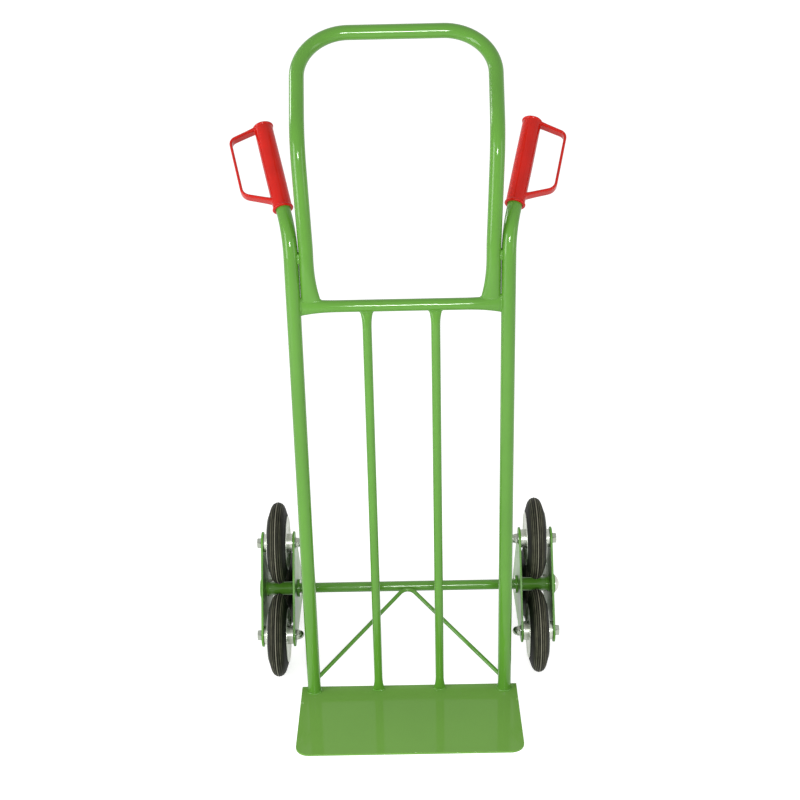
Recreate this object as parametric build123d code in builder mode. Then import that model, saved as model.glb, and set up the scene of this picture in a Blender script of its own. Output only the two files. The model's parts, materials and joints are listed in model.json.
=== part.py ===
from build123d import *
import math
import os

# A stair-climbing sack truck, in millimetres. It stands on the floor z = 0.
# +X is to the right, +Y to the back and +Z up. The origin is on the floor, midway
# between the two uprights and in the plane of their straight centre lines.

os.makedirs("parts", exist_ok=True)

# ------------------------------------------------------------------ driving sizes
upright_spacing = 364.0         # between the centre lines of the two uprights
upright_diameter = 25.0
upright_wall = 2.0

handle_bend_height = 905.0      # where an upright's two straight runs would meet
handle_lean = 45.0              # degrees, back from vertical
handle_splay = 13.0             # degrees, outwards
handle_bend_radius = 85.0

grip_start = 51.0               # from the meeting point of the runs to the grip
grip_length = 168.0
grip_wall = 4.0
grip_flange_height = 1.5        # how far each end flange stands out
grip_flange_length = 4.0
grip_end_wall = 4.0
grip_edge_radius = 1.2
tube_end_gap = 3.0              # from the tube's end to the grip's closed end

guard_root = 11.5               # from the grip's axis to where the guard's ends start
guard_reach = 60.5              # and to its outer bar
guard_foot = 19.0               # heights along the grip, to the guard's centre line
guard_low_corner = 41.5
guard_high_corner = 151.0
guard_head = 164.0
guard_low_radius = 18.0
guard_high_radius = 12.0
guard_width = 18.0
guard_thickness = 5.0
guard_edge_radius = 1.8

loop_diameter = 25.0
loop_wall = 2.0
loop_foot_flare = 9.5           # the legs' feet are pressed flat and so much wider
loop_foot_thickness = 9.0
loop_press_length = 48.0
loop_weld_height = 866.0        # where a leg is nearest to the upright beside it
loop_leg_spread = 5.8           # how far a leg leans outwards, from there to its bend
loop_top_spread = 3.5           # and from its bend to the top bar
loop_bend_height = 1063.0
loop_top_length = 209.0         # from the bend to the top bar's centre line
loop_bend_radius = 110.0
loop_corner_radius = 85.0

crossbar_height = 780.0
crossbar_diameter = 21.0
crossbar_wall = 2.0
crossbar_end_height = 30.0      # its ends are pressed tall and thin
crossbar_end_thickness = 9.0
crossbar_press_length = 26.0

slat_spacing = 117.0
slat_diameter = 16.0
slat_wall = 1.5
slat_end_width = 21.0
slat_end_thickness = 8.0
slat_press_length = 22.0

plate_overhang = 11.5           # past the uprights, on each side
plate_depth = 208.0
plate_thickness = 3.0
plate_corner_radius = 25.0
plate_edge_radius = 0.6

wheel_radius = 80.0
wheel_spacing = 18.4            # between a star's neighbouring tyres
axle_setback = 165.5            # behind the uprights
axle_diameter = 20.0
star_offset = 69.5              # from an upright's centre line to the middle of its star
star_gap = 57.5                 # between a star's two plates

bracket_thickness = 5.0
bracket_offset = 2.5            # from an upright's centre line to its bracket
bracket_low = 62.0              # heights of the bracket's weld on the upright
bracket_high = 252.0
bracket_eye_wall = 10.0

brace_diameter = 8.0
brace_bend_radius = 20.0
brace_foot_height = 32.0
brace_foot_setback = 8.0

inner_collar_wall = 7.5
inner_collar_width = 4.5
outer_collar_wall = 8.5
outer_collar_width = 8.0
cap_overhang = 6.5              # past the axle, all round
cap_height = 9.0
cap_wall = 1.5
cap_rim_length = 2.0
axle_into_cap = 4.0
axle_chamfer = 1.0

star_plate_thickness = 4.0
star_lobe_radius = 22.5
star_edge_radius = 0.6
hub_tube_wall = 2.0
bush_wall = 1.5
bush_length = 16.0

bolt_diameter = 12.0
bolt_head_flats = 19.0
bolt_head_height = 7.5
bolt_chamfer = 1.0
nut_flats = 19.0                # the nuts are domed: a hexagon, then half a ball
nut_hexagon_height = 6.0
nut_dome_radius = 8.5
nut_bore_depth = 10.5
washer_diameter = 22.5
washer_thickness = 1.5
sleeve_wall = 2.85

tyre_width = 36.0
tread_width = 3.0
shoulder_drop = 26.0            # from the tread to where the tyre is widest
tyre_bead_width = 31.0
rim_lip_radius = 52.5
rim_barrel_radius = 50.0
rim_sheet = 1.5
rim_lip_flare = 2.4
rim_dish = 2.0                  # how far the disc is dished in near the hub
hub_boss_diameter = 36.0
hub_boss_root_radius = 3.0
bearing_recess = 1.0

# ------------------------------------------------------------------ clearances
turn_gap = 0.3                  # beside a part that turns
running_gap = 0.05              # round a turning shaft, radially
bolt_gap = 0.15                 # round a bolt's shank, radially
brace_weld_gap = 0.1            # between the brace and the axle
loop_gap = 0.3                  # between an upright and the loop's leg and foot beside it

# ------------------------------------------------------------------ derived sizes
upright_x = upright_spacing / 2
upright_radius = upright_diameter / 2
star_radius = (2 * wheel_radius + wheel_spacing) / math.sqrt(3)
star_centre = upright_x + star_offset
axle_height = wheel_radius + star_radius * math.sin(math.radians(30))
axle_radius = axle_diameter / 2
hub_tube_radius = axle_radius + bush_wall + hub_tube_wall
plate_width = upright_spacing + upright_diameter + 2 * plate_overhang
plate_back = upright_radius
star_inner_face = star_centre - star_gap / 2 - star_plate_thickness
star_outer_face = star_centre + star_gap / 2 + star_plate_thickness
outer_collar_face = star_outer_face + turn_gap + outer_collar_width
wheel_angles = {"top": 90, "front": 210, "rear": 330}
sides = {"left": -1, "right": 1}
lean = math.radians(handle_lean)
splay = math.radians(handle_splay)


def wheel_centre(place):
    """Where a wheel's bolt stands at rest, as its Y and Z."""
    angle = math.radians(wheel_angles[place])
    return axle_setback + star_radius * math.cos(angle), axle_height + star_radius * math.sin(angle)


def across(x, centre=(axle_setback, axle_height)):
    """The plane across the truck at this X, centred on the axle or on the given Y and Z."""
    return Plane(origin=(x, *centre), x_dir=(0, 1, 0), z_dir=(1, 0, 0))


def finish(part, name):
    """Label a finished sub-part and write its file."""
    part.label = name
    export_step(part, f"parts/{name}.step")


# ------------------------------------------------------------------ toe plate
with BuildPart() as toe_plate:
    with BuildSketch():
        with Locations((0, plate_back - plate_depth / 2)):
            Rectangle(plate_width, plate_depth)
        fillet(vertices().group_by(Axis.Y)[0], plate_corner_radius)
    extrude(amount=plate_thickness)
    fillet(faces().sort_by(Axis.Z)[-1].edges(), plate_edge_radius)
finish(toe_plate.part, "toe_plate")

# ------------------------------------------------------------------ uprights and grips
for side, sign in sides.items():
    corner = Vector(sign * upright_x, 0, handle_bend_height)
    handle = Vector(
        sign * math.sin(splay), math.cos(splay) * math.sin(lean), math.cos(splay) * math.cos(lean)
    )
    tube_tip = corner + handle * (grip_start + grip_length - grip_end_wall - tube_end_gap)

    with BuildPart() as upright:
        with BuildLine() as centre_line:
            FilletPolyline(
                (sign * upright_x, 0, plate_thickness), corner, tube_tip, radius=handle_bend_radius
            )
        with BuildSketch(Plane.XY.offset(plate_thickness)):
            with Locations((sign * upright_x, 0)):
                Circle(upright_radius)
                Circle(upright_radius - upright_wall, mode=Mode.SUBTRACT)
        sweep(path=centre_line.line)
    finish(upright.part, f"{side}_upright")

    # The grip's own frame: its Z runs up the handle and its X points outwards.
    outwards = (Vector(sign, 0, 0) - handle * (sign * handle.X)).normalized()
    grip_base = Plane(origin=corner + handle * grip_start, x_dir=outwards, z_dir=handle)
    guard_plane = Plane(origin=grip_base.origin, x_dir=outwards, z_dir=outwards.cross(handle))
    grip_radius = upright_radius + grip_wall
    flange_radius = grip_radius + grip_flange_height
    mid_flange_radius = grip_radius + grip_flange_height / 2

    with BuildPart() as grip:
        with BuildSketch(grip_base):
            Circle(grip_radius)
        extrude(amount=grip_length)
        for height in (0, grip_length - grip_flange_length):
            with BuildSketch(grip_base.offset(height)):
                Circle(flange_radius)
            extrude(amount=grip_flange_length)
        flange_rims = edges().filter_by(GeomType.CIRCLE)
        fillet(flange_rims.filter_by(lambda rim: rim.radius > mid_flange_radius), grip_edge_radius)
        with BuildLine(guard_plane) as guard_line:
            FilletPolyline(
                (guard_root, guard_foot),
                (guard_reach, guard_low_corner),
                (guard_reach, guard_high_corner),
                (guard_root, guard_head),
                radius=[guard_low_radius, guard_high_radius],
            )
        with BuildSketch(Plane(guard_line.line @ 0, x_dir=guard_plane.z_dir, z_dir=guard_line.line % 0)):
            RectangleRounded(guard_width, guard_thickness, guard_edge_radius)
        sweep(path=guard_line.line)
        with BuildSketch(grip_base):
            Circle(upright_radius)
        extrude(amount=grip_length - grip_end_wall, mode=Mode.SUBTRACT)
    finish(grip.part, f"{side}_grip")

# ------------------------------------------------------------------ crossbar
# Its outer form, without the bore, also shapes the ends of the tubes that are welded to it.
crossbar_press_start = upright_x - upright_radius - crossbar_press_length

with BuildPart() as crossbar_form:
    with BuildSketch(across(0, (0, crossbar_height))):
        Circle(crossbar_diameter / 2)
    extrude(amount=crossbar_press_start)
    with BuildSketch(across(crossbar_press_start, (0, crossbar_height))):
        Circle(crossbar_diameter / 2)
    with BuildSketch(across(upright_x, (0, crossbar_height))):
        Ellipse(crossbar_end_thickness / 2, crossbar_end_height / 2)
    loft()
    mirror(about=Plane.YZ)

with BuildPart() as crossbar_bore:
    with BuildSketch(across(0, (0, crossbar_height))):
        Circle(crossbar_diameter / 2 - crossbar_wall)
    extrude(amount=crossbar_press_start)
    with BuildSketch(across(crossbar_press_start, (0, crossbar_height))):
        Circle(crossbar_diameter / 2 - crossbar_wall)
    with BuildSketch(across(upright_x, (0, crossbar_height))):
        Ellipse(crossbar_end_thickness / 2 - crossbar_wall, crossbar_end_height / 2 - crossbar_wall)
    loft()
    mirror(about=Plane.YZ)

with BuildPart() as crossbar:
    add(crossbar_form.part)
    add(crossbar_bore.part, mode=Mode.SUBTRACT)
    with BuildSketch(Plane.XY.offset(crossbar_height - crossbar_end_height)):
        with Locations((-upright_x, 0), (upright_x, 0)):
            Circle(upright_radius)
    extrude(amount=2 * crossbar_end_height, mode=Mode.SUBTRACT)
finish(crossbar.part, "crossbar")

# ------------------------------------------------------------------ top loop
# Half of the loop, from the middle of its top bar down to the right foot, then its mirror image.
loop_radius = loop_diameter / 2
loop_top_y = loop_top_length * math.sin(lean)
loop_top_z = loop_bend_height + loop_top_length * math.cos(lean)
loop_foot_width = loop_diameter + loop_foot_flare
loop_foot_x = upright_x - upright_radius - loop_gap - loop_foot_width / 2
loop_weld_x = upright_x - upright_radius - loop_gap - loop_radius
loop_bend_x = loop_weld_x + loop_leg_spread
loop_top_x = loop_bend_x + loop_top_spread
loop_bend = Vector(loop_bend_x, 0, loop_bend_height)
loop_weld = Vector(loop_weld_x, 0, loop_weld_height)
loop_foot = Vector(loop_foot_x, 0, crossbar_height)
leg_slope = (loop_bend - loop_weld).normalized()
press_start = crossbar_height + crossbar_diameter / 2 + loop_press_length
leg_start = loop_weld - leg_slope * ((loop_weld_height - press_start) / leg_slope.Z)

with BuildPart() as top_loop:
    with BuildLine() as centre_line:
        FilletPolyline(
            leg_start,
            loop_bend,
            (loop_top_x, loop_top_y, loop_top_z),
            (0, loop_top_y, loop_top_z),
            radius=[loop_bend_radius, loop_corner_radius],
        )
    with BuildSketch(Plane(leg_start, x_dir=(1, 0, 0), z_dir=leg_slope)):
        Circle(loop_radius)
        Circle(loop_radius - loop_wall, mode=Mode.SUBTRACT)
    sweep(path=centre_line.line)
    for inset, mode in ((0, Mode.ADD), (loop_wall, Mode.SUBTRACT)):
        with BuildSketch(Plane(leg_start, x_dir=(1, 0, 0), z_dir=leg_slope)):
            Circle(loop_radius - inset)
        with BuildSketch(Plane(loop_foot, x_dir=(1, 0, 0), z_dir=(0, 0, 1))):
            Ellipse(loop_foot_width / 2 - inset, loop_foot_thickness / 2 - inset)
        loft(mode=mode)
    mirror(about=Plane.YZ)
    add(crossbar_form.part, mode=Mode.SUBTRACT)
finish(top_loop.part, "top_loop")

# ------------------------------------------------------------------ slats
slat_radius = slat_diameter / 2
slat_low = plate_thickness + slat_press_length
slat_high = crossbar_height - crossbar_diameter / 2 - slat_press_length
for side, sign in sides.items():
    with BuildPart() as slat:
        with BuildSketch(Plane.XY.offset(slat_low)):
            with Locations((sign * slat_spacing / 2, 0)):
                Circle(slat_radius)
                Circle(slat_radius - slat_wall, mode=Mode.SUBTRACT)
        extrude(amount=slat_high - slat_low)
        for round_end, pressed_end in ((slat_low, plate_thickness), (slat_high, crossbar_height)):
            for inset, mode in ((0, Mode.ADD), (slat_wall, Mode.SUBTRACT)):
                with BuildSketch(Plane.XY.offset(round_end)):
                    with Locations((sign * slat_spacing / 2, 0)):
                        Circle(slat_radius - inset)
                with BuildSketch(Plane.XY.offset(pressed_end)):
                    with Locations((sign * slat_spacing / 2, 0)):
                        Ellipse(slat_end_width / 2 - inset, slat_end_thickness / 2 - inset)
                loft(mode=mode)
        add(crossbar_form.part, mode=Mode.SUBTRACT)
    finish(slat.part, f"{side}_slat")

# ------------------------------------------------------------------ axle and its carriers
with BuildPart() as axle:
    with BuildSketch(across(-outer_collar_face)):
        Circle(axle_radius)
    extrude(amount=2 * outer_collar_face + axle_into_cap)
    chamfer(edges().filter_by(GeomType.CIRCLE), axle_chamfer)
finish(axle.part, "axle")

for side, sign in sides.items():
    with BuildPart() as bracket:
        with BuildSketch(Plane.YZ.offset(sign * (upright_x + bracket_offset))):
            with Locations((axle_setback, axle_height)):
                Circle(axle_radius + bracket_eye_wall)
            with Locations((upright_radius / 2, (bracket_low + bracket_high) / 2)):
                Rectangle(upright_radius, bracket_high - bracket_low)
            make_hull()
            with Locations((axle_setback, axle_height)):
                Circle(axle_radius, mode=Mode.SUBTRACT)
        extrude(amount=sign * bracket_thickness)
        with BuildSketch(Plane.XY):
            with Locations((sign * upright_x, 0)):
                Circle(upright_radius)
        extrude(amount=2 * bracket_high, mode=Mode.SUBTRACT)
    finish(bracket.part, f"{side}_axle_bracket")

# The brace is one bent rod, flat in a plane that rises from its feet to the front of the axle.
# Its middle is bent round there, and its ends run on into the uprights' round, to which they
# are cut.
brace_radius = brace_diameter / 2
brace_base = Vector(0, brace_foot_setback, brace_foot_height)
brace_middle = Vector(0, axle_setback - axle_radius - brace_weld_gap - brace_radius, axle_height)
brace_rise = (brace_middle - brace_base).length
brace_foot = upright_x - upright_radius
brace_bend_centre = brace_rise - brace_bend_radius
brace_slant = math.atan2(brace_bend_centre, brace_foot)
brace_slant += math.asin(brace_bend_radius / math.hypot(brace_bend_centre, brace_foot))
brace_end = (
    brace_foot + brace_radius * math.cos(brace_slant),
    -brace_radius * math.sin(brace_slant),
)
brace_plane = Plane(
    origin=brace_base, x_dir=(1, 0, 0), z_dir=Vector(1, 0, 0).cross(brace_middle - brace_base)
)
with BuildPart() as brace_rod:
    with BuildLine(brace_plane) as centre_line:
        FilletPolyline(
            (-brace_end[0], brace_end[1]),
            (0, brace_foot * math.tan(brace_slant)),
            brace_end,
            radius=brace_bend_radius,
        )
    with BuildSketch(Plane(centre_line.line @ 0, z_dir=centre_line.line % 0)):
        Circle(brace_radius)
    sweep(path=centre_line.line)
    with BuildSketch(Plane.XY):
        with Locations((-upright_x, 0), (upright_x, 0)):
            Circle(upright_radius)
    extrude(amount=2 * brace_foot_height, mode=Mode.SUBTRACT)
finish(brace_rod.part, "brace_rod")

with BuildPart() as inner_axle_collars:
    with BuildSketch(across(star_inner_face - turn_gap - inner_collar_width)):
        Circle(axle_radius + inner_collar_wall)
        Circle(axle_radius, mode=Mode.SUBTRACT)
    extrude(amount=inner_collar_width)
    mirror(about=Plane.YZ)
finish(inner_axle_collars.part, "inner_axle_collars")

with BuildPart() as outer_axle_collars:
    with BuildSketch(across(star_outer_face + turn_gap)):
        Circle(axle_radius + outer_collar_wall)
        Circle(axle_radius, mode=Mode.SUBTRACT)
    extrude(amount=outer_collar_width)
    mirror(about=Plane.YZ)
finish(outer_axle_collars.part, "outer_axle_collars")

# A pressed dome closes the axle's right end: an outer dome less the same dome one wall smaller.
cap_radius = axle_radius + cap_overhang
with BuildPart() as axle_cap:
    for inset, mode in ((0, Mode.ADD), (cap_wall, Mode.SUBTRACT)):
        with BuildSketch(Plane((outer_collar_face, axle_setback, axle_height))):
            with BuildLine():
                rim = (cap_rim_length, cap_radius - inset)
                crown = (cap_height - inset, 0)
                Polyline(crown, (0, 0), (0, cap_radius - inset), rim)
                TangentArc(crown, rim, tangent=(0, 1))
            make_face()
        revolve(axis=Axis((0, axle_setback, axle_height), (1, 0, 0)), mode=mode)
finish(axle_cap.part, "right_axle_cap")

# ------------------------------------------------------------------ stars
gap_inner_face = star_centre - star_gap / 2
gap_outer_face = star_centre + star_gap / 2
bolt_head_start = star_outer_face + washer_thickness
nut_seat = star_inner_face - washer_thickness
bolt_tip = nut_seat - nut_bore_depth
bolt_hole_radius = bolt_diameter / 2 + bolt_gap
sleeve_radius = bolt_hole_radius + sleeve_wall


def wheel_bolt_places():
    """The three bolt centres of a star, on a plane that is centred on the axle."""
    return PolarLocations(star_radius, 3, start_angle=wheel_angles["top"])


for side, sign in sides.items():
    for plate_name, face in {"inner": star_inner_face, "outer": gap_outer_face}.items():
        with BuildPart() as star_plate:
            with BuildSketch(across(sign * face)):
                with wheel_bolt_places():
                    Circle(star_lobe_radius)
                make_hull()
                Circle(hub_tube_radius, mode=Mode.SUBTRACT)
                with wheel_bolt_places():
                    Circle(bolt_hole_radius, mode=Mode.SUBTRACT)
            extrude(amount=sign * star_plate_thickness)
            for outline in faces().filter_by(Axis.X):
                fillet(outline.outer_wire().edges(), star_edge_radius)
        finish(star_plate.part, f"{side}_star_{plate_name}_plate")

    with BuildPart() as hub_tube:
        with BuildSketch(across(sign * star_inner_face)):
            Circle(hub_tube_radius)
            Circle(hub_tube_radius - hub_tube_wall, mode=Mode.SUBTRACT)
        extrude(amount=sign * (star_outer_face - star_inner_face))
    finish(hub_tube.part, f"{side}_star_hub_tube")

    with BuildPart() as hub_bushes:
        for start in (star_inner_face, star_outer_face - bush_length):
            with BuildSketch(across(sign * start)):
                Circle(hub_tube_radius - hub_tube_wall)
                Circle(axle_radius + running_gap, mode=Mode.SUBTRACT)
            extrude(amount=sign * bush_length)
    finish(hub_bushes.part, f"{side}_star_bushes")

    with BuildPart() as wheel_bolts:
        with BuildSketch(across(sign * bolt_tip)):
            with wheel_bolt_places():
                Circle(bolt_diameter / 2)
        extrude(amount=sign * (bolt_head_start - bolt_tip))
        chamfer(edges().filter_by(GeomType.CIRCLE).sort_by(Axis.X, reverse=sign < 0)[:3], bolt_chamfer)
        with BuildSketch(across(sign * bolt_head_start)):
            with wheel_bolt_places():
                RegularPolygon(bolt_head_flats / 2, 6, major_radius=False)
        extrude(amount=sign * bolt_head_height)
    finish(wheel_bolts.part, f"{side}_wheel_bolts")

    dome_half = (-90, 0) if sign > 0 else (0, 90)
    with BuildPart() as wheel_nuts:
        with BuildSketch(across(sign * nut_seat)):
            with wheel_bolt_places():
                RegularPolygon(nut_flats / 2, 6, major_radius=False)
        extrude(amount=-sign * nut_hexagon_height)
        with Locations(across(sign * (nut_seat - nut_hexagon_height))):
            with wheel_bolt_places():
                Sphere(nut_dome_radius, *dome_half)
        with BuildSketch(across(sign * bolt_tip)):
            with wheel_bolt_places():
                Circle(bolt_diameter / 2)
        extrude(amount=sign * (star_inner_face - bolt_tip), mode=Mode.SUBTRACT)
    finish(wheel_nuts.part, f"{side}_wheel_nuts")

    with BuildPart() as wheel_washers:
        for start in (nut_seat, star_outer_face):
            with BuildSketch(across(sign * start)):
                with wheel_bolt_places():
                    Circle(washer_diameter / 2)
                    Circle(bolt_hole_radius, mode=Mode.SUBTRACT)
            extrude(amount=sign * washer_thickness)
    finish(wheel_washers.part, f"{side}_wheel_washers")

    with BuildPart() as axle_sleeves:
        with BuildSketch(across(sign * gap_inner_face)):
            with wheel_bolt_places():
                Circle(sleeve_radius)
                Circle(bolt_hole_radius, mode=Mode.SUBTRACT)
        extrude(amount=sign * star_gap)
    finish(axle_sleeves.part, f"{side}_wheel_sleeves")

# ------------------------------------------------------------------ wheels
# Every wheel part is a profile turned about the wheel's bolt: across the tread, then outwards.
hub_half = star_gap / 2 - turn_gap
boss_radius = hub_boss_diameter / 2
bead_half = tyre_bead_width / 2
disc_half = bead_half - rim_dish
bearing_radius = boss_radius - rim_sheet
bearing_bore = sleeve_radius + running_gap
shoulder = wheel_radius - shoulder_drop

for side, sign in sides.items():
    for place in wheel_angles:
        centre_y, centre_z = wheel_centre(place)
        turning_plane = Plane((sign * star_centre, centre_y, centre_z))
        turning_axis = Axis(turning_plane.origin, (1, 0, 0))

        with BuildPart() as tyre:
            with BuildSketch(turning_plane):
                with BuildLine():
                    Line((-tread_width / 2, wheel_radius), (tread_width / 2, wheel_radius))
                    for edge in (-1, 1):
                        EllipticalCenterArc(
                            (edge * tread_width / 2, shoulder),
                            (tyre_width - tread_width) / 2,
                            shoulder_drop,
                            start_angle=0 if edge > 0 else 90,
                            arc_size=90,
                        )
                        Line(
                            (edge * tyre_width / 2, shoulder),
                            (edge * bead_half, rim_barrel_radius),
                        )
                    Line((-bead_half, rim_barrel_radius), (bead_half, rim_barrel_radius))
                make_face()
            revolve(axis=turning_axis)
        finish(tyre.part, f"{side}_{place}_tyre")

        # A rim half is one pressing: half the barrel, the lip beside the tyre, the dished disc
        # and the hub boss. The other half is its mirror image.
        for half, facing in {"inner": -sign, "outer": sign}.items():
            with BuildPart() as rim:
                with BuildSketch(turning_plane):
                    with BuildLine():
                        Polyline(
                            (0, rim_barrel_radius),
                            (facing * bead_half, rim_barrel_radius),
                            (facing * (bead_half + rim_lip_flare), rim_lip_radius),
                            (facing * (bead_half + rim_lip_flare + rim_sheet), rim_lip_radius),
                            (facing * (bead_half + rim_sheet), rim_barrel_radius - rim_sheet),
                            (facing * disc_half, boss_radius + hub_boss_root_radius),
                            (facing * (disc_half + hub_boss_root_radius), boss_radius),
                            (facing * hub_half, boss_radius),
                            (facing * hub_half, bearing_radius),
                            (facing * (disc_half - rim_sheet), bearing_radius),
                            (facing * (bead_half - rim_sheet), rim_barrel_radius - rim_sheet),
                            (0, rim_barrel_radius - rim_sheet),
                            close=True,
                        )
                    make_face()
                revolve(axis=turning_axis)
            finish(rim.part, f"{side}_{place}_{half}_rim")

        with BuildPart() as bearing:
            with BuildSketch(turning_plane):
                with Locations((0, (bearing_radius + bearing_bore) / 2)):
                    Rectangle(2 * (hub_half - bearing_recess), bearing_radius - bearing_bore)
            revolve(axis=turning_axis)
        finish(bearing.part, f"{side}_{place}_bearing")
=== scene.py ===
"""The looks of a stair-climbing sack truck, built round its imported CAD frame.

Wheel centres come from the frame's joints, and the ends of tubes and the seats of fasteners from
its CAD nodes. This file adds the ribbed tyres, the pressed rims, the moulded grips, the bolts and
nuts and the weld beads, gives every piece its finish, and sets up a plain studio. Lengths are in
metres, and tables of points in millimetres are scaled by MM.
"""

import json
import math

import bpy
import numpy as np
from mathutils import Matrix, Vector


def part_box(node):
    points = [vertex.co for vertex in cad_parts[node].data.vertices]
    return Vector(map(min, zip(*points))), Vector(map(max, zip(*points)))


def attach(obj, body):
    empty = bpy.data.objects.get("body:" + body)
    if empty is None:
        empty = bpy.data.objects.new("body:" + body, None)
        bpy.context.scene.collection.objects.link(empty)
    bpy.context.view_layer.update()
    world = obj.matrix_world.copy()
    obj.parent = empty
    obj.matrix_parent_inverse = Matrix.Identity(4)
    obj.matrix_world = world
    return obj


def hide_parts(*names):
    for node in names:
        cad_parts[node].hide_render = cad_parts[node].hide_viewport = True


bl_info = {
    "name": "Stair-climbing sack truck",
    "version": (1, 0, 0),
    "blender": (4, 5, 0),
    "location": "View3D > Sidebar > Sack truck",
    "description": "Builds the visible pieces and finishes of a stair-climbing sack truck",
    "category": "Object",
}

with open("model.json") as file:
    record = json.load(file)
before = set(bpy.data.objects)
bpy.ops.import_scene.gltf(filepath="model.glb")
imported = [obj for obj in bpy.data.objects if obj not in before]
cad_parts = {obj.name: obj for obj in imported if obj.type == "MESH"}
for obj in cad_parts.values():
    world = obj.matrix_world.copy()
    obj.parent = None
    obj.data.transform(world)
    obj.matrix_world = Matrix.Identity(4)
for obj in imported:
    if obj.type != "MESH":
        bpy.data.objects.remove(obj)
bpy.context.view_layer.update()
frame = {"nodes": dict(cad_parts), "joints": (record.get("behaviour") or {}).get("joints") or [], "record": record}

SIDES = {"left": -1.0, "right": 1.0}
PLACES = ("top", "front", "rear")
MM = 0.001
TURN = 2 * math.pi
# directions, each as one row that serves every row of a path
RIGHT, BACK, UP = np.eye(3)[:, None]
FINISHES = {}


# ---- sizes and colours


def colour_field(name, description, value):
    """A colour property."""
    return bpy.props.FloatVectorProperty(
        name=name, description=description, subtype="COLOR", size=3, default=value
    )


def length_field(name, description, millimetres):
    """A length property, in metres, from its default in millimetres."""
    return bpy.props.FloatProperty(
        name=name, description=description, subtype="DISTANCE", default=millimetres * MM
    )


def angle_field(name, description, radians):
    """An angle property, in radians."""
    return bpy.props.FloatProperty(
        name=name, description=description, subtype="ANGLE", default=radians
    )


class TruckPaint(bpy.types.PropertyGroup):
    """Colours of the finishes."""

    enamel: colour_field("Enamel", "Colour of the painted steel", (0.098, 0.280, 0.029))
    enamel_deep: colour_field("Thick enamel", "Colour where it lies thicker", (0.087, 0.252, 0.026))
    # The plate's green enamel made paler: a painted reflection of the white surroundings.
    plate: colour_field("Plate enamel", "Colour of the toe plate's enamel", (0.157, 0.341, 0.062))
    plastic: colour_field("Grip plastic", "Colour of the moulded grips", (0.520, 0.0110, 0.0055))
    rubber: colour_field("Rubber", "Colour in the grooves of the tyres", (0.008, 0.009, 0.007))
    # Lighter colour of the rib crests: a painted highlight along the ribs, with some dust.
    rubber_sheen_and_dust: colour_field("Dusty rubber", "Colour on the tyres' ribs", (0.118, 0.117, 0.079))
    rubber_seam: colour_field("Seam", "Colour of the tyres' moulding seam", (0.230, 0.222, 0.175))
    zinc: colour_field("Zinc plate", "Colour of the plated steel", (0.620, 0.635, 0.610))


class TruckTyre(bpy.types.PropertyGroup):
    """Sizes of the solid tyres."""

    radius: length_field("Radius", "Radius at the tread", 80)
    half_width: length_field("Half width", "Half the widest width", 17.8)
    seat_radius: length_field("Seat", "Radius of the rim that the tyre sits on", 50)
    seat_half_width: length_field("Half seat", "Half the tyre's width on the rim", 15.5)
    rib_pitch: length_field("Rib pitch", "From one rib round the tread to the next", 4.6)
    groove_depth: length_field("Groove depth", "Depth of the grooves between the ribs", 0.7)


class TruckGrip(bpy.types.PropertyGroup):
    """Place and sizes of the grips."""

    corner_x: length_field("Half spacing", "From the middle to an upright", 182)
    corner_z: length_field("Bend height", "Where an upright's straight runs would meet", 905)
    lean: angle_field("Lean", "Of the handle, back from vertical", math.radians(45))
    splay: angle_field("Splay", "Of the handle, outwards", math.radians(13))
    start: length_field("Start", "From the bend to the grip", 51)
    length: length_field("Length", "Length of the grip", 168)
    bore: length_field("Bore", "Radius of the hole for the tube", 12.55)
    radius: length_field("Radius", "Outer radius", 16.2)
    flange: length_field("Flange", "Outer radius of the end flanges", 17.9)
    guard_width: length_field("Guard width", "Width of the guard's strap", 18)
    guard_thickness: length_field("Guard thickness", "Thickness of the guard's strap", 5)


class TruckTube(bpy.types.PropertyGroup):
    """Sizes of the loop, the crossbar and the slats, and of their pressed ends."""

    loop_leg_x: length_field("Loop leg", "From the middle to a leg, up to its weld", 156.8)
    loop_bend_x: length_field("Loop bend", "From the middle to a leg's bend", 162.5)
    loop_bend_z: length_field("Loop bend height", "Where the legs bend back", 1063)
    loop_top_x: length_field("Loop corner", "From the middle to the top corners", 166)
    loop_radius: length_field("Loop tube", "Outer radius of the loop's tube", 12.5)
    loop_set_radius: length_field("Loop set radius", "Radius where the legs leave their feet", 300)
    loop_bend_radius: length_field("Loop bend radius", "Radius where the legs bend back", 110)
    loop_corner_radius: length_field("Loop corner radius", "Radius of the top corners", 85)
    loop_foot_half_width: length_field("Foot half width", "Half the width of a pressed foot", 18.6)
    loop_foot_half_thickness: length_field(
        "Foot half thickness", "Half the thickness of a pressed foot", 4.5
    )
    loop_press: length_field("Foot length", "How far up the legs' feet are pressed", 85)
    bar_end_half_height: length_field("Bar end half height", "Half the bar ends' height", 17)
    bar_end_half_thickness: length_field(
        "Bar end half thickness", "Half the thickness of the bar's ends", 4.5
    )
    bar_press: length_field("Bar end length", "Length of the crossbar's pressed ends", 68)
    slat_end_half_width: length_field("Slat end half width", "Half the slat ends' width", 11.6)
    slat_end_half_thickness: length_field(
        "Slat end half thickness", "Half the thickness of a slat's ends", 4
    )
    slat_press: length_field("Slat end length", "Length of a slat's pressed ends", 30)


class TruckWeld(bpy.types.PropertyGroup):
    """Sizes of the weld beads."""

    radius: length_field("Radius", "Mean radius of a bead", 2.3)
    ripple: length_field("Ripple", "Distance between a bead's ripples", 2.4)


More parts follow.
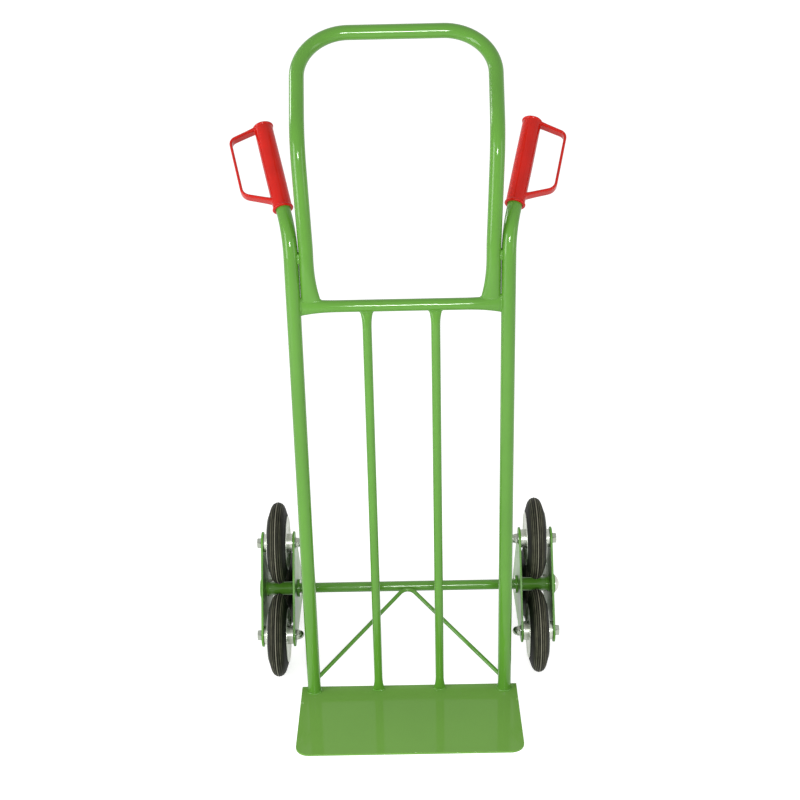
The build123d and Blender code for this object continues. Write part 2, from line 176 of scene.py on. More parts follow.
class TruckStudio(bpy.types.PropertyGroup):
    """Camera and lamps."""

    camera_place: bpy.props.FloatVectorProperty(
        name="Camera", description="Where the camera stands", subtype="TRANSLATION", size=3,
        default=(0.01391, -2.16253, 1.52469),
    )
    camera_yaw: angle_field("Yaw", "Turn to the right", -0.0088474)
    camera_pitch: angle_field("Pitch", "Tilt downwards", 0.4020337)
    camera_roll: angle_field("Roll", "Turn about the line of sight", 0.0228584)
    lens: bpy.props.FloatProperty(
        name="Lens", description="Focal length", unit="CAMERA", default=60.627
    )
    fill: bpy.props.FloatProperty(
        name="Fill", description="Brightness of the white surroundings as light",
        subtype="FACTOR", default=0.56,
    )


# ---- surfaces


def skin(grid, ring=False):
    """Points and faces of a closed skin over a grid of points (rows, columns, 3).

    Columns close on themselves. Rows close too if ring is true; otherwise the first and last
    row are closed with a fan to a pole at their mean point. The faces are turned so that the
    volume inside them, the sum of the signed tetrahedra to the origin, is positive.
    """
    rows, columns, _ = grid.shape
    index = np.arange(rows * columns).reshape(rows, columns)
    beside = np.roll(index, -1, axis=1)
    points = grid.reshape(-1, 3)
    if ring:
        quads = np.stack([index, beside, np.roll(beside, -1, 0), np.roll(index, -1, 0)], -1)
        triangles = np.zeros((0, 3), int)
    else:
        quads = np.stack([index[:-1], beside[:-1], beside[1:], index[1:]], -1)
        points = np.vstack([points, grid[0].mean(0), grid[-1].mean(0)])
        first = np.full(columns, rows * columns)
        triangles = np.vstack([
            np.stack([first, beside[0], index[0]], -1),
            np.stack([first + 1, index[-1], beside[-1]], -1),
        ])
    quads = quads.reshape(-1, 4)
    middle = points.mean(0)
    a, b, c, d = (points[quads[:, k]] - middle for k in range(4))
    volume = np.einsum("ij,ij->", a, np.cross(b, c)) + np.einsum("ij,ij->", a, np.cross(c, d))
    a, b, c = (points[triangles[:, k]] - middle for k in range(3))
    volume += np.einsum("ij,ij->", a, np.cross(b, c))
    if volume < 0:
        quads, triangles = quads[:, ::-1], triangles[:, ::-1]
    return points, quads.tolist() + triangles.tolist()


def turned(profile, centre, sides=96, ring=True, flats=None):
    """A profile of (along X, radius) turned about an axis along X through the centre.

    A point is centre + (along, radius cos angle, radius sin angle). Where the width across
    flats is given, the piece is cut to a hexagon: the radius is no more than half that width
    divided by the cosine of the angle to the nearest flat's middle.
    """
    angle = np.linspace(0, TURN, sides, endpoint=False)
    along, radius = profile[:, :1], profile[:, 1:]
    if flats is not None:
        folded = (angle + math.pi / 6) % (math.pi / 3) - math.pi / 6
        radius = np.minimum(radius, flats / 2 / np.cos(folded))
    grid = np.stack([along + 0 * angle, radius * np.cos(angle), radius * np.sin(angle)], -1)
    return skin(grid + np.asarray(centre), ring)


def carried(path, across, up, section, ring=False):
    """A section carried along a path: path + section x across + section y up."""
    grid = path[:, None] + section[..., :1] * across[:, None] + section[..., 1:] * up[:, None]
    return skin(grid, ring)


def round_section(points):
    """A unit circle: (cos angle, sin angle)."""
    angle = np.linspace(0, TURN, points, endpoint=False)
    return np.stack([np.cos(angle), np.sin(angle)], -1)


def make_piece(name, skins, slot, body, replaced=(), crease=None, sheen_dust_and_seam=None):
    """One smooth-shaded object from closed skins, in its slot's finish, riding on a body."""
    points, faces, start = [], [], 0
    for skin_points, skin_faces in skins:
        points.append(skin_points)
        faces.extend([[start + corner for corner in face] for face in skin_faces])
        start += len(skin_points)
    mesh = bpy.data.meshes.new(name)
    mesh.from_pydata(np.vstack(points), [], faces)
    mesh.shade_smooth()
    if crease is not None:
        mesh.set_sharp_from_angle(angle=crease)
    # A value per point for the tyres: painted highlight on the rib crests, dust and the seam.
    if sheen_dust_and_seam is not None:
        attribute = mesh.attributes.new("sheen_dust_and_seam", "FLOAT", "POINT")
        attribute.data.foreach_set("value", np.asarray(sheen_dust_and_seam, np.float32))
    mesh.materials.append(FINISHES[slot])
    piece = bpy.data.objects.new(name, mesh)
    bpy.context.scene.collection.objects.link(piece)
    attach(piece, body)
    if replaced:
        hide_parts(*replaced)
    return piece


def unit(vectors):
    """Vectors divided by their lengths."""
    return vectors / np.linalg.norm(vectors, axis=-1, keepdims=True)


def run_lengths(points):
    """The length along a line of points, from its start to each of them."""
    return np.concatenate([[0], np.cumsum(np.linalg.norm(np.diff(points, axis=0), axis=1))])


def smooth_curve(knots, steps=6):
    """A Catmull-Rom curve through knots (n, 2), with so many points to a span.

    The point at t between knots b and c, whose neighbours are a and d, is half of
    2b + (c - a) t + (2a - 5b + 4c - d) t^2 + (3b - a - 3c + d) t^3.
    """
    ends = np.vstack([2 * knots[0] - knots[1], knots, 2 * knots[-1] - knots[-2]])
    t = np.linspace(0, 1, steps, endpoint=False)[None, :, None]
    a, b, c, d = (ends[k:len(ends) - 3 + k, None] for k in range(4))
    curve = 0.5 * (
        2 * b + (c - a) * t + (2 * a - 5 * b + 4 * c - d) * t ** 2
        + (3 * b - a - 3 * c + d) * t ** 3
    )
    return np.vstack([curve.reshape(-1, 2), knots[-1:]])


def rounded_path(corners, radii, step):
    """A path through corners (n, 2 or 3), each inner corner rounded by an arc of its radius.

    The arc starts and ends radius x tan(half the turn) from the corner, and straight runs join
    the arcs. The path is sampled about every step.
    """
    pieces = [corners[:1]]
    for before, corner, after, radius in zip(corners, corners[1:], corners[2:], radii):
        inward, outward = unit(corner - before), unit(after - corner)
        turn = math.acos(float(np.clip(inward @ outward, -1, 1)))
        reach = radius * math.tan(turn / 2)
        centre = corner + unit(outward - inward) * radius / math.cos(turn / 2)
        start, end = corner - inward * reach - centre, corner + outward * reach - centre
        share = np.linspace(0, 1, max(3, int(turn * radius / step)))[:, None]
        arc = start * np.sin((1 - share) * turn) + end * np.sin(share * turn)
        pieces.append(centre + arc / math.sin(turn))
    pieces.append(corners[-1:])
    points = np.vstack(pieces)
    along = run_lengths(points)
    places = np.linspace(0, along[-1], int(along[-1] / step) + 2)
    return np.stack([np.interp(places, along, points[:, k]) for k in range(points.shape[1])], -1)


def bead(path, out, radius, ripple, closed, seed):
    """A weld bead carried along a path.

    Its radius is the mean radius times 1 + a small sum of slow sines + the ripples, which are
    the absolute value of a sine of the length along the bead. An open bead's ends taper as
    the square root of 1 - t to the eighth, where t runs from -1 to 1.
    """
    ahead = np.roll(path, -1, 0) - np.roll(path, 1, 0) if closed else np.gradient(path, axis=0)
    side = unit(np.cross(unit(ahead), out))
    up = np.cross(side, unit(ahead))
    length = run_lengths(path)
    total = length[-1] + (length[-1] - length[-2] if closed else 0)
    ripples = max(2, round(total / ripple))
    turn = length / total
    rng = np.random.default_rng(seed)
    phase = rng.uniform(0, TURN, 4)
    slow = sum(0.05 * np.sin(TURN * (k + 1) * turn + phase[k]) for k in range(4))
    width = radius * (0.95 + slow + 0.12 * np.abs(np.sin(math.pi * ripples * turn)))
    if not closed:
        width = width * np.sqrt(np.clip(1 - (2 * turn - 1) ** 8, 0.02, 1))
    section = width[:, None, None] * round_section(12)
    wander = 0.15 * radius * np.sin(TURN * 3 * turn + phase[0])
    return carried(path + side * wander[:, None], side, up, section, ring=closed)


# ---- finishes


def add_node(tree, kind, inputs=(), **settings):
    """A new node, its settings, and its inputs by name or number: a value or a link."""
    made = tree.nodes.new(kind)
    for key, value in settings.items():
        setattr(made, key, value)
    for key, value in dict(inputs).items():
        if isinstance(value, bpy.types.NodeSocket):
            tree.links.new(value, made.inputs[key])
        else:
            made.inputs[key].default_value = value
    return made


class Recipe:
    """A material's node tree, written as a short list of steps."""

    def __init__(self, name, **constants):
        self.material = bpy.data.materials.new(name)
        self.material.use_nodes = True
        self.tree = self.material.node_tree
        self.shader = self.tree.nodes["Principled BSDF"]
        for socket, value in constants.items():
            self.shader.inputs[socket.replace("_", " ")].default_value = value
        self.place = self.tree.nodes.new("ShaderNodeTexCoord").outputs["Object"]

    def node(self, kind, inputs=(), **settings):
        """A new node in this tree."""
        return add_node(self.tree, kind, inputs, **settings)

    def noise(self, scale, detail, roughness=0.5):
        """Noise from 0 to 1 on the object's own coordinates."""
        inputs = {"Vector": self.place, "Scale": scale, "Detail": detail, "Roughness": roughness}
        return self.node("ShaderNodeTexNoise", inputs).outputs["Fac"]

    def spread(self, value, low, high, out_low=0.0, out_high=1.0):
        """The value mapped from low..high to out_low..out_high, and held there."""
        inputs = {0: value, 1: low, 2: high, 3: out_low, 4: out_high}
        return self.node("ShaderNodeMapRange", inputs).outputs[0]

    def blend(self, share, first, second):
        """A colour between the first and the second."""
        first, second = (
            colour if isinstance(colour, bpy.types.NodeSocket) else (*colour, 1)
            for colour in (first, second)
        )
        inputs = {0: share, 6: first, 7: second}
        return self.node("ShaderNodeMix", inputs, data_type="RGBA").outputs[2]

    def bump(self, height, strength, distance, under=None):
        """A bump normal, on top of another where one is given."""
        inputs = {"Height": height, "Strength": strength, "Distance": distance}
        if under is not None:
            inputs["Normal"] = under
        return self.node("ShaderNodeBump", inputs).outputs[0]

    def drive(self, socket, value):
        """Links a value to a socket of the shader."""
        self.tree.links.new(value, self.shader.inputs[socket])

    def patches(self, noise, low, first, second):
        """Colours in soft patches: the first where the noise is under low, the second over 0.7."""
        self.drive("Base Color", self.blend(self.spread(noise, low, 0.7), first, second))

    def gloss(self, scale, detail, low, high):
        """Roughness that drifts between low and high."""
        self.drive("Roughness", self.spread(self.noise(scale, detail), 0.3, 0.7, low, high))

    def grain(self, scale, detail, strength, distance, under=None):
        """A bumpy surface, on top of another bump where one is given."""
        self.drive("Normal", self.bump(self.noise(scale, detail), strength, distance, under))


def enamel_finish(name, colour, deep, low=0.08, high=0.15, specular=0.42):
    """Glossy enamel: two close greens in soft patches, with a faint orange peel."""
    recipe = Recipe(name, IOR=1.45, Specular_IOR_Level=specular)
    recipe.patches(recipe.noise(7, 3), 0.35, colour, deep)
    recipe.gloss(30, 4, low, high)
    slow = recipe.bump(recipe.noise(45, 1), 0.008, 0.0005)
    recipe.grain(320, 1, 0.003, 0.0002, slow)
    return recipe.material


def plastic_finish(colours):
    """Moulded red plastic: satin, with a fine grain and slight clouds of colour."""
    recipe = Recipe("grip_plastic", IOR=1.45, Specular_IOR_Level=0.24)
    darker = tuple(0.86 * channel for channel in colours.plastic)
    recipe.patches(recipe.noise(24, 3), 0.3, colours.plastic, darker)
    recipe.gloss(90, 3, 0.15, 0.22)
    recipe.grain(1400, 2, 0.04, 0.0001)
    return recipe.material


def rubber_finish(colours):
    """Solid rubber: near black in the grooves, lighter on the rib crests as a painted highlight with some dust,
    tan on the moulding seam.
    """
    recipe = Recipe("tyre_rubber", IOR=1.5, Specular_IOR_Level=0.06)
    sheen_dust_and_seam = recipe.node("ShaderNodeAttribute", attribute_name="sheen_dust_and_seam").outputs["Fac"]
    # Patches of dust at random, as a factor from 0.55 to 1.1.
    tone_factor = recipe.spread(recipe.noise(70, 5, 0.65), 0.35, 0.7, 0.55, 1.1)
    sheen_and_dust = recipe.node("ShaderNodeMath", {0: sheen_dust_and_seam, 1: tone_factor}, operation="MULTIPLY").outputs[0]
    # The rib crests lighter than the grooves: a painted highlight, partly dust.
    sheen_and_dust_colour = recipe.blend(recipe.spread(sheen_and_dust, 0.05, 0.7), colours.rubber, colours.rubber_sheen_and_dust)
    seam = recipe.spread(sheen_dust_and_seam, 0.75, 0.95)
    recipe.drive("Base Color", recipe.blend(seam, sheen_and_dust_colour, colours.rubber_seam))
    recipe.drive("Roughness", recipe.spread(sheen_and_dust, 0, 1, 0.55, 0.8))
    coarse = recipe.bump(recipe.noise(120, 3), 0.2, 0.0004)
    recipe.grain(900, 2, 0.25, 0.0002, coarse)
    return recipe.material


def zinc_finish(name, colours, tint=(1, 1, 1), low=0.24, high=0.42):
    """Bright zinc plate: clear metal with faint clouds and a fine grain."""
    recipe = Recipe(name, Metallic=1.0)
    bright = tuple(a * b for a, b in zip(colours.zinc, tint))
    dull = tuple(channel * shade for channel, shade in zip(bright, (0.84, 0.84, 0.80)))
    recipe.patches(recipe.noise(55, 5, 0.6), 0.35, bright, dull)
    recipe.gloss(150, 4, low, high)
    recipe.grain(600, 2, 0.12, 0.0001)
    return recipe.material


def dark_finish(name, colour, roughness):
    """Dull dark finish for bushes and bearings."""
    recipe = Recipe(name, Roughness=roughness)
    lighter = tuple(1.5 * channel for channel in colour)
    recipe.patches(recipe.noise(80, 3), 0.3, colour, lighter)
    recipe.grain(700, 2, 0.2, 0.0001)
    return recipe.material


def make_finishes(colours):
    """Every finish once: one for each slot of the record, and two more kinds of enamel."""
    return {
        "green_enamel": enamel_finish("frame_enamel", colours.enamel, colours.enamel_deep),
        # Paler base and little gloss: the toe plate's colour carries a painted reflection of the white
        # surroundings.
        "plate_enamel_and_reflection": enamel_finish(
            "plate_enamel_and_reflection", colours.plate, [0.95 * channel for channel in colours.plate],
            low=0.06, high=0.10, specular=0.14,
        ),
        "star_enamel": enamel_finish(
            "star_enamel", colours.enamel, colours.enamel_deep, low=0.27, high=0.36, specular=0.3
        ),
        "red_plastic": plastic_finish(colours),
        "solid_tyre": rubber_finish(colours),
        "zinc_rim": zinc_finish("rim_zinc", colours, (0.84, 0.86, 0.80)),
        "zinc_plate": zinc_finish("bolt_zinc", colours, (0.60, 0.64, 0.57), 0.14, 0.24),
        "pale_cap": zinc_finish("cap_zinc", colours, (1.0, 0.98, 0.93), 0.16, 0.28),
        "bearing_steel": dark_finish("roller_steel", (0.16, 0.16, 0.155), 0.45),
        "bush_plastic": dark_finish("axle_bush", (0.02, 0.02, 0.02), 0.55),
    }


# ---- places


def joint_place(name):
    """Where a joint stands, in metres."""
    return np.array(next(joint["pos_m"] for joint in frame["joints"] if joint["name"] == name))


def wheels():
    """Each wheel's side, the sign of X there, the wheel's name and its centre."""
    for side, sign in SIDES.items():
        for place in PLACES:
            yield side, sign, f"{side}_{place}", joint_place(f"{side}_{place}_wheel_spin")


# ---- operators


class TRUCK_OT_finishes(bpy.types.Operator):
    """Give every CAD node its finish"""

    bl_idname = "truck.finishes"
    bl_label = "Finish the frame"

    def execute(self, context):
        FINISHES.update(make_finishes(context.scene.truck_paint))
        slots = {part["node"]: part["material_slot"] for part in frame["record"]["subparts"]}
        for node, piece in frame["nodes"].items():
            finish = slots[node]
            # The toe plate's enamel has a painted reflection in its colour.
            if node == "toe_plate":
                finish = "plate_enamel_and_reflection"
            elif "star_" in node and node.endswith("_plate"):
                finish = "star_enamel"
            piece.material_slots[0].material = FINISHES[finish]
        return {"FINISHED"}


class TRUCK_OT_tubes(bpy.types.Operator):
    """Draw the loop, the crossbar and the slats with their pressed ends"""

    bl_idname = "truck.tubes"
    bl_label = "Loop, crossbar and slats"

    SIDES_OF_TUBE, BAR_ROWS, SLAT_ROWS = 56, 200, 240
    LOOP_STEP, BAR_REACH, TOP_LEAN = 3 * MM, 3 * MM, math.radians(45)

    def pressed(self, path, across, up, share, radius, end_across, end_up):
        """A tube whose section goes from a circle to an ellipse as share goes from 0 to 1.

        Its half sizes are radius + (end size - radius) x share.
        """
        half = radius + (np.array([end_across, end_up]) - radius) * share[:, None]
        return carried(path, across, up, half[:, None] * round_section(self.SIDES_OF_TUBE))

    def eased(self, share):
        """From 0 to 1 along a hollow curve: t to the power 2.3, with t held to 0..1."""
        return np.clip(share, 0, 1) ** 2.3

    def loop(self, tube, foot_z, top_y, top_z):
        """The loop, from its right foot over the top bar to its left foot.

        A leg stands upright a little above its pressed foot, then leans out to its bend and
        back to the top corner. A foot widens inwards only: its path moves in by as much as its
        half width grows. The section's up is square to the leg in side view, and to the leaning
        top all along it.
        """
        radius = tube.loop_radius
        corners = np.array([
            (tube.loop_leg_x, 0, foot_z),
            (tube.loop_leg_x, 0, foot_z + 1.2 * tube.loop_press),
            (tube.loop_bend_x, 0, tube.loop_bend_z),
            (tube.loop_top_x, top_y, top_z), (0, top_y, top_z),
        ])
        radii = (tube.loop_set_radius, tube.loop_bend_radius, tube.loop_corner_radius)
        right = rounded_path(corners, radii, self.LOOP_STEP)
        path = np.vstack([right, right[-2::-1] * [-1, 1, 1]])
        heading = unit(np.gradient(path, axis=0))
        tilt = np.arctan2(np.abs(heading[:, 1]), np.abs(heading[:, 2]))
        tilt = np.where(path[:, 1] > 0.5 * top_y, self.TOP_LEAN, tilt)
        up = np.sin(tilt)[:, None] * UP - np.cos(tilt)[:, None] * BACK
        across = unit(np.cross(up, heading))
        up = np.cross(heading, across)
        share = self.eased(1 - (path[:, 2] - foot_z) / tube.loop_press)
        path[:, 0] -= np.sign(path[:, 0]) * share * (tube.loop_foot_half_width - radius)
        return self.pressed(
            path, across, up, share, radius, tube.loop_foot_half_width,
            tube.loop_foot_half_thickness,
        )

    def crossbar(self, tube, bar_z, bar_radius, half_length):
        """The crossbar, whose pressed ends reach into the uprights."""
        along = np.linspace(-half_length, half_length, self.BAR_ROWS)
        path = along[:, None] * RIGHT + bar_z * UP
        share = self.eased((np.abs(along) - half_length + tube.bar_press) / tube.bar_press)
        return self.pressed(
            path, BACK, UP, share, bar_radius, tube.bar_end_half_thickness,
            tube.bar_end_half_height,
        )

    def slat(self, tube, low, high, bar_z, bar_radius):
        """A slat from the toe plate up into the crossbar's underside, pressed at both ends."""
        height = np.linspace(low.z, bar_z - 0.4 * bar_radius, self.SLAT_ROWS)
        path = (low.x + high.x) / 2 * RIGHT + height[:, None] * UP
        ends = np.minimum(height - low.z, bar_z - 0.9 * bar_radius - height)
        share = self.eased(1 - ends / tube.slat_press)
        return self.pressed(
            path, RIGHT, BACK, share, (high.y - low.y) / 2, tube.slat_end_half_width,
            tube.slat_end_half_thickness,
        )

    def execute(self, context):
        tube = context.scene.truck_tube
        low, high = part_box("crossbar")
        bar_z, bar_radius = (low.z + high.z) / 2, (high.y - low.y) / 2
        bar = self.crossbar(tube, bar_z, bar_radius, high.x + self.BAR_REACH)
        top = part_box("top_loop")[1]
        loop = self.loop(tube, bar_z, top.y - tube.loop_radius, top.z - tube.loop_radius)
        pieces = {"crossbar": ("pressed_crossbar", bar), "top_loop": ("bent_loop", loop)}
        for side in SIDES:
            slat = self.slat(tube, *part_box(f"{side}_slat"), bar_z, bar_radius)
            pieces[f"{side}_slat"] = (f"{side}_pressed_slat", slat)
        for node, (name, surface) in pieces.items():
            make_piece(name, [surface], "green_enamel", "frame", replaced=(node,))
        return {"FINISHED"}


class TRUCK_OT_tyres(bpy.types.Operator):
    """Make the six ribbed solid tyres"""

    bl_idname = "truck.tyres"
    bl_label = "Tyres"

    # Tone factor of each side's painted rib highlight and dust: higher on the right tyres (1.35) than on the left
    # (0.95).
    SIDE_TONE = {"left": 0.95, "right": 1.35}
    ROUND, FIRST_SEED = 160, 21

    def half_section(self, tyre):
        """Half the tyre's section from the middle of the tread to the rim, as (along, radius).

        A smooth curve runs through knots, each a share of the half width and a drop below the
        tread's radius: a narrow crown, rounded shoulders and a wall that swells to its widest
        just above the rim.
        """
        share = np.array([0, 0.09, 0.25, 0.435, 0.58, 0.685, 0.78, 0.85, 0.92, 0.985, 1.0, 0.965])
        drop = np.array([0, 0.05, 0.75, 2.5, 5.0, 8.0, 12.0, 16.0, 20.0, 24.5, 26.3, 27.6]) * MM
        knots = np.stack([share * tyre.half_width, tyre.radius - drop], -1)
        return smooth_curve(np.vstack([knots, [(tyre.seat_half_width, tyre.seat_radius)]]), 12)

    def section(self, tyre):
        """The whole section as a closed loop of (along, radius), and a value per point for its painted rib
        highlight, dust and seam.

        Grooves lie on even steps of the length along the half section: each point moves
        inwards, square to the line, by depth x the sixth power of the sine of half a turn a
        pitch, fading out down the wall. A thin seam stands up on the middle. The value is each
        rib's own tone x (1 - the sine squared) to the power 1.3, plus the seam: the rib crests
        lighter than the grooves, a painted highlight along the ribs with some dust.
        """
        half = self.half_section(tyre)
        length = run_lengths(half)
        heading = unit(np.gradient(half, axis=0))
        normal = np.stack([-heading[:, 1], heading[:, 0]], -1)
        inward = np.where(normal[:, 1:] > 0, -normal, normal)
        last_groove, fade_run, seam_width, seam_height, tread = (
            25 * MM, 7 * MM, 0.9 * MM, 0.3 * MM, 30 * MM
        )
        wave = np.sin(math.pi * length / tyre.rib_pitch)
        fade = np.clip((last_groove - length) / fade_run, 0, 1)
        seam = np.exp(-((length / seam_width) ** 2))
        depth = tyre.groove_depth * fade * wave ** 6
        depth += seam_height * (1 - seam) * (length < tread)
        half = half + inward * depth[:, None]
        rib = np.floor(length / tyre.rib_pitch + 0.5).astype(int)
        # Each rib's painted highlight, strongest on the shoulders, with some dust.
        tone = np.array([0.50, 0.42, 0.80, 0.50, 0.18, 0.05, 0.05, 0.05, 0.05, 0.05])[rib]
        sheen_dust_and_seam = np.clip(tone * (1 - wave ** 2) ** 1.3 + 0.6 * seam, 0, 1)
        whole = np.vstack([half[:0:-1] * [-1, 1], half])
        seat = np.linspace(tyre.seat_half_width, -tyre.seat_half_width, 8)[1:-1]
        under = np.stack([seat, np.full(6, tyre.seat_radius)], -1)
        sheen_dust_and_seam = np.concatenate([sheen_dust_and_seam[:0:-1], sheen_dust_and_seam, np.full(6, 0.1)])
        return np.vstack([whole, under]), sheen_dust_and_seam

    def streaked(self, sheen_dust_and_seam, seed, tone_factor):
        """The painted rib highlight and dust round the tyre: each line's value x the tone factor
        x (1 + slow sines of the angle).

        The sines' phases drift from line to line, so that the streaks run round the tread. The
        seam, the only value over 0.8, keeps its own.
        """
        rng = np.random.default_rng(seed)
        angle = np.linspace(0, TURN, self.ROUND, endpoint=False)
        line = np.linspace(0, 9, len(sheen_dust_and_seam))[:, None]
        streak = sum(
            0.14 * np.sin(k * angle + rng.uniform(0, TURN) + 2.2 * np.sin(line * k * 0.7))
            for k in (1, 2, 3, 5)
        )
        sheen_dust_and_seam = sheen_dust_and_seam[:, None]
        return np.where(sheen_dust_and_seam > 0.8, sheen_dust_and_seam, np.clip(tone_factor * sheen_dust_and_seam * (1 + streak), 0, 0.74))

    def execute(self, context):
        section, sheen_dust_and_seam = self.section(context.scene.truck_tyre)
        for seed, (side, _, wheel, centre) in enumerate(wheels(), self.FIRST_SEED):
            make_piece(
                f"{wheel}_ribbed_tyre", [turned(section, centre, self.ROUND)],
                "solid_tyre", f"{wheel}_wheel", replaced=(f"{wheel}_tyre",),
                sheen_dust_and_seam=self.streaked(sheen_dust_and_seam, seed, self.SIDE_TONE[side]).ravel(),
            )
        return {"FINISHED"}


class TRUCK_OT_rims(bpy.types.Operator):
    """Make the twelve pressed rim halves"""

    bl_idname = "truck.rims"
    bl_label = "Rims"

    def profile(self):
        """Half a rim as a closed loop of (outwards from the wheel's middle, radius).

        The outer face is a smooth curve through its knots: barrel, flared lip, dished disc
        with one pressed ring, and hub boss. The back follows it one sheet inside.
        """
        outer = np.array([
            (0.0, 49.9), (7.0, 49.9), (14.0, 49.9), (15.6, 50.2), (16.8, 51.3), (17.8, 52.2),
            (18.6, 52.5), (19.3, 52.2), (19.2, 51.3), (18.2, 49.6), (17.3, 48.0), (16.5, 45.0),
            (15.9, 41.0), (15.0, 37.5), (15.3, 33.5), (15.1, 29.5), (14.1, 26.0), (13.7, 23.5),
            (13.9, 21.3), (14.8, 19.3), (16.6, 18.2), (19.0, 18.0), (26.5, 18.0), (27.9, 17.9),
            (28.4, 17.5), (28.4, 16.9), (28.0, 16.6),
        ])
        inner = np.array([
            (24.0, 16.55), (16.5, 16.7), (13.5, 18.4), (12.3, 21.3), (12.2, 24.0), (12.8, 27.0),
            (13.6, 30.0), (13.8, 33.5), (13.6, 37.0), (14.4, 41.0), (15.0, 45.0), (15.2, 47.2),
            (14.0, 48.5), (7.0, 48.5), (0.0, 48.5),
        ])
        return np.vstack([smooth_curve(outer), smooth_curve(inner)]) * MM

    def execute(self, context):
        profile = self.profile()
        for _, sign, wheel, centre in wheels():
            for half, facing in (("inner", -sign), ("outer", sign)):
                make_piece(
                    f"{wheel}_{half}_disc", [turned(profile * [facing, 1], centre, 128)],
                    "zinc_rim", f"{wheel}_wheel", replaced=(f"{wheel}_{half}_rim",),
                )
        return {"FINISHED"}


class TRUCK_OT_grips(bpy.types.Operator):
    """Mould the two grips with their finger guards"""

    bl_idname = "truck.grips"
    bl_label = "Grips"

    def body_profile(self, grip):
        """The grip's section as (along, radius), from the bore's end out round the flanges.

        Between the flanges the radius is the grip's radius with a slow swell of a quarter of a
        millimetre. The flanges are half-round rings and the closed end is flat.
        """
        ring, cap, centre_hole, chamfer = 2 * MM, 4 * MM, 0.2 * MM, 0.3 * MM
        turn = np.linspace(-math.pi / 2, math.pi / 2, 12)
        low_flange = [ring, grip.flange - ring] + ring * np.stack([np.sin(turn), np.cos(turn)], -1)
        along = np.linspace(3 * ring, grip.length - 3 * ring, 60)
        swell = 0.25 * MM * np.sin(math.pi * along / grip.length) ** 2
        body = np.stack([along, grip.radius + swell], -1)
        high_flange = low_flange + [grip.length - 2 * ring, 0]
        end_radius = np.linspace(grip.flange - 2 * ring, centre_hole, 16)
        end = np.stack([np.full(16, grip.length), end_radius], -1)
        bore = np.array([
            (grip.length - cap, centre_hole), (grip.length - cap, grip.bore),
            (grip.length / 2, grip.bore), (chamfer, grip.bore), (0, grip.bore + chamfer),
        ])
        return np.vstack([bore, low_flange, body, high_flange, end])

    def sleeve(self, grip, base, handle, outwards, square):
        """The profile turned about the handle: base + along x handle + radius x around."""
        profile = self.body_profile(grip)[:, None]
        around = round_section(96) @ [outwards, square]
        return skin(base + profile[..., :1] * handle + profile[..., 1:] * around)

    def guard(self, grip, base, handle, outwards, square):
        """The finger guard: a strap carried along three straight runs with rounded corners.

        Its section is a rounded rectangle, each half size x the sign of the cosine or sine x
        its size to a power below 1. The width is less by an eighth at the middle, and the
        thickness is more by 0.6 x e to the power -reach / 0.035 from each root.
        """
        # (outwards from the handle, along it)
        corners = np.array([(12.6, 19.0), (60.5, 41.5), (60.5, 151.0), (12.6, 163.5)]) * MM
        line = rounded_path(corners, (18 * MM, 12 * MM), 1.2 * MM)
        path = base + line[:, :1] * outwards + line[:, 1:] * handle
        up = unit(np.cross(np.gradient(path, axis=0), square))
        circle = round_section(40)
        halves = np.array([grip.guard_width / 2, grip.guard_thickness / 2])
        rounded = halves * np.sign(circle) * np.abs(circle) ** [0.35, 0.6]
        reach = np.linspace(0, 1, len(path))
        root = np.exp(-reach / 0.035) + np.exp((reach - 1) / 0.035)
        shares = np.stack([1 - 0.12 * np.sin(math.pi * reach) ** 2, 1 + 0.6 * root], -1)
        return carried(path, square[None], up, rounded * shares[:, None])

    def execute(self, context):
        grip = context.scene.truck_grip
        for side, sign in SIDES.items():
            handle = np.array([
                sign * math.sin(grip.splay),
                math.cos(grip.splay) * math.sin(grip.lean),
                math.cos(grip.splay) * math.cos(grip.lean),
            ])
            outwards = unit(np.array([sign, 0, 0]) - handle * (sign * handle[0]))
            square = np.cross(handle, outwards)
            base = np.array([sign * grip.corner_x, 0, grip.corner_z]) + handle * grip.start
            place = (grip, base, handle, outwards, square)
            piece = make_piece(
                f"{side}_moulded_grip", [self.sleeve(*place), self.guard(*place)],
                "red_plastic", "frame", replaced=(f"{side}_grip",),
            )
            fuse = piece.modifiers.new("fuse", "REMESH")
            fuse.mode = "VOXEL"
            fuse.voxel_size = 0.8 * MM
            fuse.use_smooth_shade = True
            soften = piece.modifiers.new("soften", "SMOOTH")
            soften.factor = 0.5
            soften.iterations = 4
        return {"FINISHED"}


